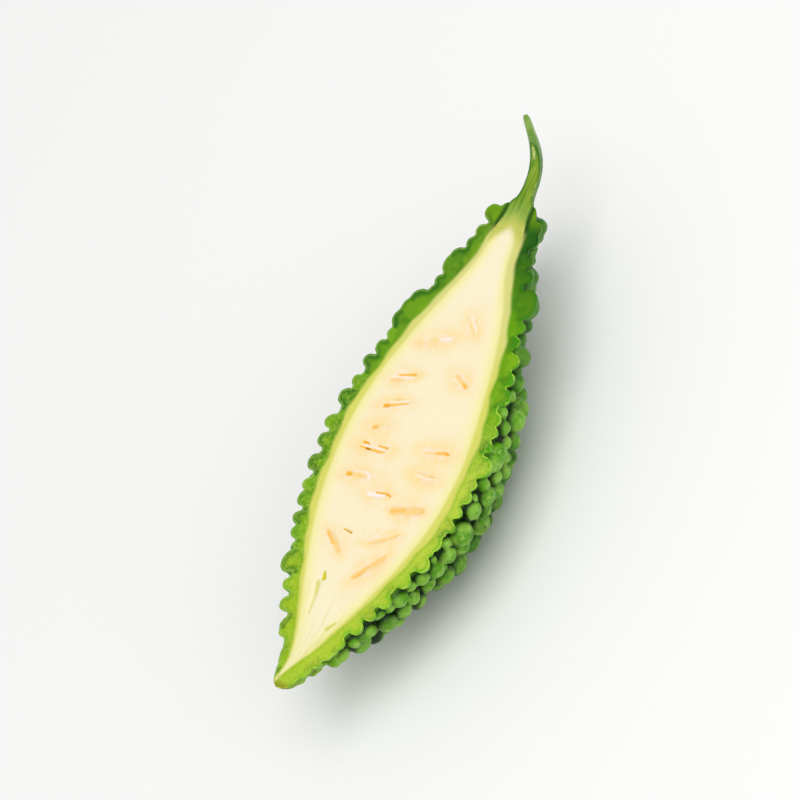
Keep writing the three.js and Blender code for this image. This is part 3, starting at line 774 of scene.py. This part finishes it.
def seed_material():
    n = Nodes("Cut Seed")
    tan, pale = n.read("tan"), n.read("pale")
    grain = n.noise(700, 3, (1, 0.4, 1))
    tone = n.coats(
        linear(254, 235, 202),
        (n.step(n.noise(210), 0.38, 0.66), linear(254, 226, 164)),
        (n.step(grain, 0.4, 0.7) * 0.3, linear(254, 226, 170)),
        (n.step(pale, 0.1, 1.7), linear(255, 243, 236)),
        (n.step(tan + (grain - 0.5) * 0.2 * tan, 0.0, 1.0), n.looks.seed),
        (n.step(tan, 0.6, 1.0) * 0.8, linear(252, 182, 48)),
        (n.step(tan, 1.0, 1.4) * 0.8, linear(172, 118, 12)))
    return n.finish(Base_Color=tone, Roughness=n.step(grain, 0.3, 0.7, 0.32, 0.46),
                    Specular_IOR_Level=0.3, Normal=n.bump(grain, 0.12, 0.0002))


def stalk_material():
    n = Nodes("Stalk Skin")
    streak, along = n.noise(700, 2, (0.08, 1, 1)), n.along()
    tone = n.coats(
        n.looks.stalk,
        (n.step(streak, 0.4, 0.65) * 0.6, linear(150, 182, 80)),
        (n.step(along, 196, 186) * n.step(streak, 0.3, 0.6, 1.0, 0.5), linear(44, 104, 26)))
    return n.finish(Base_Color=tone, Roughness=0.42, Normal=n.bump(streak, 0.3, 0.0003),
                    Coat_Weight=0.1)


def cut_stalk_material():
    n = Nodes("Cut Stalk")
    deep, pale, along = n.read("inward"), n.read("pale"), n.along()
    streak = n.noise(800, 2, (0.08, 1, 1))
    tone = n.coats(
        towards_stalk(n, n.looks.cream, deep),
        (n.step(streak, 0.5, 0.66) * n.step(along, 164, 176) * 0.5, linear(184, 196, 84)),
        (n.step(streak, 0.46, 0.34) * n.step(along, 164, 172) * 0.6, linear(62, 120, 18)),
        (n.step(deep, 1.0, 0.2) * n.step(along, 161, 165) * 0.9, linear(48, 110, 16)),
        (n.step(pale, 0.1, 0.9) * n.step(streak, 0.36, 0.6, 0.35, 0.9), linear(216, 222, 150)))
    return n.finish(Base_Color=tone, Roughness=0.4, Specular_IOR_Level=0.3,
                    Normal=n.bump(streak, 0.3, 0.0003))


# Pieces

class GOURD_OT_rind(Operator):
    """Build the green wall with its tubercles, cut level"""
    bl_idname = "gourd.rind"
    bl_label = "Rind"

    def execute(self, context):
        stations = even_stations(0.3, BODY_LENGTH - 0.2, wall_radius, 1.5)
        body = tube("Rind", stations, wall_radius, sides=120, ends=(0, BODY_LENGTH))
        bpy.ops.mesh.primitive_ico_sphere_add(subdivisions=3, radius=1)
        bead = context.object
        beads = []
        balls = tubercles()
        for i, (x, y, z, radius) in enumerate(balls):
            copy = bpy.data.objects.new(f"Tubercle {i}", bead.data.copy())
            context.collection.objects.link(copy)
            waves = math.sin(2.3 * i), math.sin(3.1 * i + 1), 0
            copy.scale = [radius * MM * (1 + BEAD_SQUASH * wave) for wave in waves]
            copy.location = to_scene(np.array([x, y, z]))
            beads.append(copy)
        bpy.data.objects.remove(bead)
        only(body)
        for copy in beads:
            copy.select_set(True)
        bpy.ops.object.join()
        modify(body, "REMESH", mode="VOXEL", voxel_size=context.scene.gourd_shape.skin_detail)
        modify(body, "SMOOTH", factor=0.5, iterations=4)
        lumps = bpy.data.textures.new("Lumps", "CLOUDS")
        lumps.noise_scale = 0.006
        modify(body, "DISPLACE", texture=lumps, strength=0.0009, mid_level=0.5)
        modify(body, "DECIMATE", ratio=0.55)
        core = core_body("Core", BODY_LENGTH + 2)
        modify(body, "BOOLEAN", operation="DIFFERENCE", solver="MANIFOLD", object=core)
        bpy.data.objects.remove(core)
        body.data.materials.clear()
        cut_level(body)
        co = coordinates(body)
        co[:, 2] = np.maximum(co[:, 2], 0)
        place(body, co)
        refill(body, WALL_FACE)
        points = to_body(coordinates(body))
        crown, own = on_tubercles(points, balls)
        attributes(body, crown=crown, own=own, inward=inward(points), band=pale_depth(points),
                   lime=inward(points) + lime_width(points[:, 0]),
                   flank=smooth(1.5, -1.5, points[:, 1] - core_y(points[:, 0])),
                   rim=np.where(on_cut(points), distance_to_skin(body), 9))
        dress(body, ["rind"], [skin_material(), wall_material()])
        return {"FINISHED"}


def core_body(name, end):
    """The pith's outside, grown by its margin, up to an end."""
    def radius_at(x):
        return core_radius(np.minimum(x, BODY_LENGTH)) + CORE_MARGIN
    stations = even_stations(CORE_FIRST_RING, end - 0.02, core_radius, 2.0)
    return tube(name, stations, radius_at, sides=96, ends=(CORE_TIP, end), middle=core_y)


def on_tubercles(points, balls):
    """How near each point is to its tubercle's crown, -1 to 1, and a number that is its own."""
    tree = tree_of(balls[:, :3])
    angle = np.arctan2(FACE_HEIGHT - balls[:, 2], balls[:, 1] - middle_y(balls[:, 0]))
    normals = outward(balls[:, 0], angle)
    crown, own = np.zeros(len(points)), np.zeros(len(points))
    for k, point in enumerate(points):
        gap, i = min((d - balls[i, 3], i) for _, i, d in tree.find_n(point, 6))
        cosine = (point - balls[i, :3]) @ normals[i] / balls[i, 3]
        away = min(max(gap, 0), 1)
        crown[k] = cosine * (1 - away) - away
        own[k] = i * 0.618 % 1
    return crown, own


def distance_to_skin(obj):
    """For each vertex, the distance in mm to the edge between the cut and the outer skin."""
    bm = bmesh.new()
    bm.from_mesh(obj.data)
    edge = {}
    for e in bm.edges:
        if len(e.link_faces) == 2 and {f.material_index for f in e.link_faces} == {0, 1}:
            for v in e.verts:
                p = to_body(np.array(v.co))
                if abs(p[1] - core_y(p[0])) > core_radius(min(p[0], BODY_LENGTH)) + 0.6:
                    edge[v] = v.co
    tree = tree_of(edge.values())
    found = [tree.find(v.co)[2] / MM for v in bm.verts]
    bm.free()
    return np.array(found)


def seed_frame(points, seed):
    """Along and across a seed, each from -1 to 1 inside it."""
    x, y, length, thickness, turned = seed[:5]
    angle = math.radians(turned)
    dx, dy = points[:, 0] - x, points[:, 1] - y
    along = (dx * math.sin(angle) - dy * math.cos(angle)) / (length / 2)
    across = (dx * math.cos(angle) + dy * math.sin(angle)) / (thickness / 2)
    return along, across


class GOURD_OT_pith(Operator):
    """Build the pale core with a pocket for each seed"""
    bl_idname = "gourd.pith"
    bl_label = "Pith"

    def execute(self, context):
        pith = core_body("Pith", CORE_END)
        cut_level(pith)
        refill(pith, PITH_FACE, slot=0)
        points = to_body(coordinates(pith))
        tints = {name: np.zeros(len(points)) for name in TINT_REACH}
        sunk = np.zeros(len(points))
        for seed in SEEDS:
            along, across = seed_frame(points, seed)
            reach = np.hypot(along, across)
            out = np.hypot(along * seed[2] / 2, across * seed[3] / 2)
            gap = np.maximum(out - out / np.maximum(reach, 1e-6), 0)
            for name, far in TINT_REACH.items():
                tints[name] = np.maximum(tints[name], np.exp(-(gap / far) ** 2))
            sunk = np.maximum(sunk, smooth(0.9, 0.7, reach) * POCKET_DEPTH)
        inside, band = inward(points), pale_depth(points)
        vein, tan = marks(points, VEINS), marks(points, TAN_MARKS)
        dents = sunk + VEIN_DEPTH * vein + TAN_DEPTH * tan
        points[:, 2] -= np.where(on_cut(points), dents, 0)
        place(pith, to_scene(points))
        attributes(pith, inward=inside, band=band, vein=vein, tan=tan, **tints)
        dress(pith, ["pith"], [pith_material()])
        return {"FINISHED"}


def marks(points, strokes):
    """The strongest of these tapering strokes at each point, fading to 0 at its edge."""
    flat = np.asarray(points)[:, :2]
    found = np.zeros(len(flat))
    for x1, y1, x2, y2, from_width, to_width, tone in strokes:
        line = np.array([x2 - x1, y2 - y1])
        t = np.clip((flat - [x1, y1]) @ line / (line @ line), 0, 1)
        gap = np.linalg.norm(flat - [x1, y1] - t[:, None] * line, axis=1)
        width = from_width + (to_width - from_width) * t
        found = np.maximum(found, tone * (1 - smooth(0.1, 1, gap / width)))
    return found


class GOURD_OT_seeds(Operator):
    """Build one cut seed and copy it into each pocket"""
    bl_idname = "gourd.seeds"
    bl_label = "Seeds"

    def execute(self, context):
        bpy.ops.mesh.primitive_uv_sphere_add(segments=64, ring_count=32, radius=1)
        master = context.object
        place(master, (coordinates(master) * MASTER_SEED + [0, 0, FACE_HEIGHT - MASTER_CUT]) * MM)
        cut_level(master)
        refill(master, SEED_FACE, slot=0)
        shape = coordinates(master) / MM - [0, 0, FACE_HEIGHT]
        top = math.sqrt(1 - (MASTER_CUT / MASTER_SEED[2]) ** 2)
        material = seed_material()
        for i, (seed, strokes) in enumerate(zip(SEEDS, STROKES)):
            x, y, length, thickness, turned, depth = seed
            copy = bpy.data.objects.new(f"Cut_seed_{i + 1:02d}", master.data.copy())
            context.collection.objects.link(copy)
            local = shape * [thickness / 2, length / 2, depth] / (MASTER_SEED * [top, top, 1])
            angle = math.radians(turned)
            across, along = local[:, 0].copy(), local[:, 1].copy()
            local[:, 0] = x + across * math.cos(angle) - along * math.sin(angle)
            local[:, 1] = y + across * math.sin(angle) + along * math.cos(angle)
            half = np.array([length, thickness]) / 2
            flat = np.stack(seed_frame(local, seed), axis=-1) * half
            drawn = np.array(strokes) * [*half, *half, STROKE_SPREAD, STROKE_SPREAD, STROKE_DEPTH]
            drawn[:, 4:6] += STROKE_SOFT
            tan = marks(flat, drawn)
            pale = marks(flat, drawn * [1, 1, 1, 1, 1, 1, -1])
            within = 1 - smooth(0.75, 0.95, np.linalg.norm(flat / half, axis=1))
            dents = within * (TAN_DENT * tan + PALE_DENT * pale)
            local[:, 2] += FACE_HEIGHT
            local[:, 2] += np.where(on_cut(local), SEED_RISE - dents, 0)
            place(copy, to_scene(local))
            attributes(copy, tan=tan, pale=pale)
            dress(copy, [f"seed_{i + 1:02d}"], [material])
        bpy.data.objects.remove(master)
        return {"FINISHED"}


class GOURD_OT_stalk(Operator):
    """Build the ridged stalk with its root in the neck, cut by the knife"""
    bl_idname = "gourd.stalk"
    bl_label = "Stalk"

    def execute(self, context):
        root_x = np.linspace(CORE_END, BODY_LENGTH, 4)
        knots = [(x, float(middle_y(x)), 0, float(core_radius(x))) for x in root_x]
        knots = np.array(knots + STALK_LINE)
        steps = np.linalg.norm(np.diff(knots[:, :3], axis=0), axis=1)
        run = np.concatenate([[0], np.cumsum(steps)])
        at = np.linspace(0, run[-1], 120)
        line = np.stack([catmull(run, knots[:, k], at) for k in range(4)], axis=-1)
        stalk, ring, angle = ringed_sphere("Stalk", sides=60, rings=len(at))
        i = np.clip(ring - 1, 0, len(at) - 1)
        forward = np.gradient(line[:, :3] * [1, 1, -1], axis=0)
        forward /= np.linalg.norm(forward, axis=1, keepdims=True)
        side = np.cross([0, 0, 1], forward)
        side /= np.linalg.norm(side, axis=1, keepdims=True)
        up = np.cross(forward, side)
        ridged = STALK_RIDGE * smooth(BODY_LENGTH + 1, BODY_LENGTH + 6, line[i, 0])
        reach = line[i, 3] * (1 - ridged + ridged * np.cos(5 * angle))
        reach *= np.sqrt(1 - np.maximum(0, at[i] - run[-1] + 0.9) ** 2)
        reach = np.where(ring != i + 1, 0, reach)
        points = line[i, :3] * [1, 1, -1] + [0, 0, FACE_HEIGHT]
        spoke = np.cos(angle)[:, None] * side[i] + np.sin(angle)[:, None] * up[i]
        points += reach[:, None] * spoke
        points += (ring == len(at) + 1)[:, None] * forward[i] * 0.1
        place(stalk, to_scene(points))
        mend(stalk)
        cut_level(stalk)
        refill(stalk, STALK_FACE)
        body = to_body(coordinates(stalk))
        middle, below, radius = (np.interp(body[:, 0], line[:, 0], line[:, k]) for k in (1, 2, 3))
        half = np.sqrt(np.maximum(0, radius ** 2 - below ** 2))
        attributes(stalk, inward=half - np.abs(body[:, 1] - middle),
                   pale=marks(body, STALK_STREAKS))
        dress(stalk, ["stem"], [stalk_material(), cut_stalk_material()])
        return {"FINISHED"}


def catmull(run, values, at):
    """A smooth curve through values at these runs."""
    slope = np.gradient(values, run)
    k = np.clip(np.searchsorted(run, at, side="right") - 1, 0, len(run) - 2)
    h = run[k + 1] - run[k]
    t = (at - run[k]) / h
    return ((2 * t**3 - 3 * t**2 + 1) * values[k] + (t**3 - 2 * t**2 + t) * h * slope[k]
            + (3 * t**2 - 2 * t**3) * values[k + 1] + (t**3 - t**2) * h * slope[k + 1])


class GOURD_OT_stage(Operator):
    """Set the floor, the light and the camera"""
    bl_idname = "gourd.stage"
    bl_label = "Stage"

    def execute(self, context):
        stage = context.scene.stage_looks
        bpy.ops.mesh.primitive_plane_add(size=6)
        floor = context.object
        floor.name = "Floor"
        n = Nodes("Floor Paint")
        floor.data.materials.append(n.finish(Base_Color=stage.floor, Roughness=0.9))

        toward = Vector(TOWARD_CAMERA).normalized()
        x_axis = Vector((1, 0, 0))
        along = (x_axis - toward * x_axis.dot(toward)).normalized()
        side = toward.cross(along)
        right = along * math.cos(stage.roll) - side * math.sin(stage.roll)
        up = along * math.sin(stage.roll) + side * math.cos(stage.roll)
        tip = Vector((TIP.x, TIP.y, FACE_HEIGHT)) * MM
        eye = tip + (right * AIM[0] + up * AIM[1]) * MM + toward * stage.distance
        bpy.ops.object.camera_add(location=eye)
        camera = context.object
        turn = Matrix((right, up, toward)).transposed().to_4x4()
        camera.matrix_world = Matrix.Translation(eye) @ turn
        camera.data.lens = 200
        camera.data.clip_start = 0.01
        context.scene.camera = camera

        world = bpy.data.worlds.new("Soft Sky")
        world.use_nodes = True
        sky = world.node_tree.nodes["Background"].inputs
        sky["Color"].default_value = (1, 1, 1, 1)
        sky["Strength"].default_value = stage.sky
        context.scene.world = world
        soft_lamp("Key", -right * 0.3 + up * 0.35 + toward * 0.8, stage.key)
        soft_lamp("Fill", Vector((0.1, -0.9, 0.4)), stage.fill)
        context.scene.view_settings.view_transform = "Standard"
        return {"FINISHED"}


def soft_lamp(name, direction, energy):
    at = direction.normalized() * LAMP_DISTANCE
    bpy.ops.object.light_add(type="AREA", location=at)
    lamp = bpy.context.object
    lamp.name = name
    lamp.data.size = LAMP_SIZE
    lamp.data.energy = energy
    lamp.rotation_euler = at.to_track_quat("Z", "Y").to_euler()


class GOURD_PT_panel(Panel):
    """The gourd's sizes, colours and pieces"""
    bl_idname = "GOURD_PT_panel"
    bl_label = "Bitter Gourd Half"
    bl_space_type = "VIEW_3D"
    bl_region_type = "UI"
    bl_category = "Gourd"

    def draw(self, context):
        for group in (context.scene.gourd_shape, context.scene.gourd_looks,
                      context.scene.stage_looks):
            box = self.layout.box()
            for name in group.bl_rna.properties.keys():
                if name not in {"name", "rna_type"}:
                    box.prop(group, name)
        for operator in OPERATORS:
            self.layout.operator(operator.bl_idname)


OPERATORS = (GOURD_OT_rind, GOURD_OT_pith, GOURD_OT_seeds, GOURD_OT_stalk, GOURD_OT_stage)
GROUPS = {"gourd_shape": GourdShape, "gourd_looks": GourdLooks, "stage_looks": StageLooks}


def register():
    for cls in (*GROUPS.values(), *OPERATORS, GOURD_PT_panel):
        bpy.utils.register_class(cls)
    for name, group in GROUPS.items():
        setattr(bpy.types.Scene, name, PointerProperty(type=group))


def unregister():
    for name in GROUPS:
        delattr(bpy.types.Scene, name)
    for cls in reversed((*GROUPS.values(), *OPERATORS, GOURD_PT_panel)):
        bpy.utils.unregister_class(cls)


def main():
    register()
    bpy.ops.object.select_all(action="DESELECT")
    bpy.ops.gourd.rind()
    bpy.ops.gourd.pith()
    bpy.ops.gourd.seeds()
    bpy.ops.gourd.stalk()
    bpy.ops.gourd.stage()


if __name__ == "__main__":
    main()
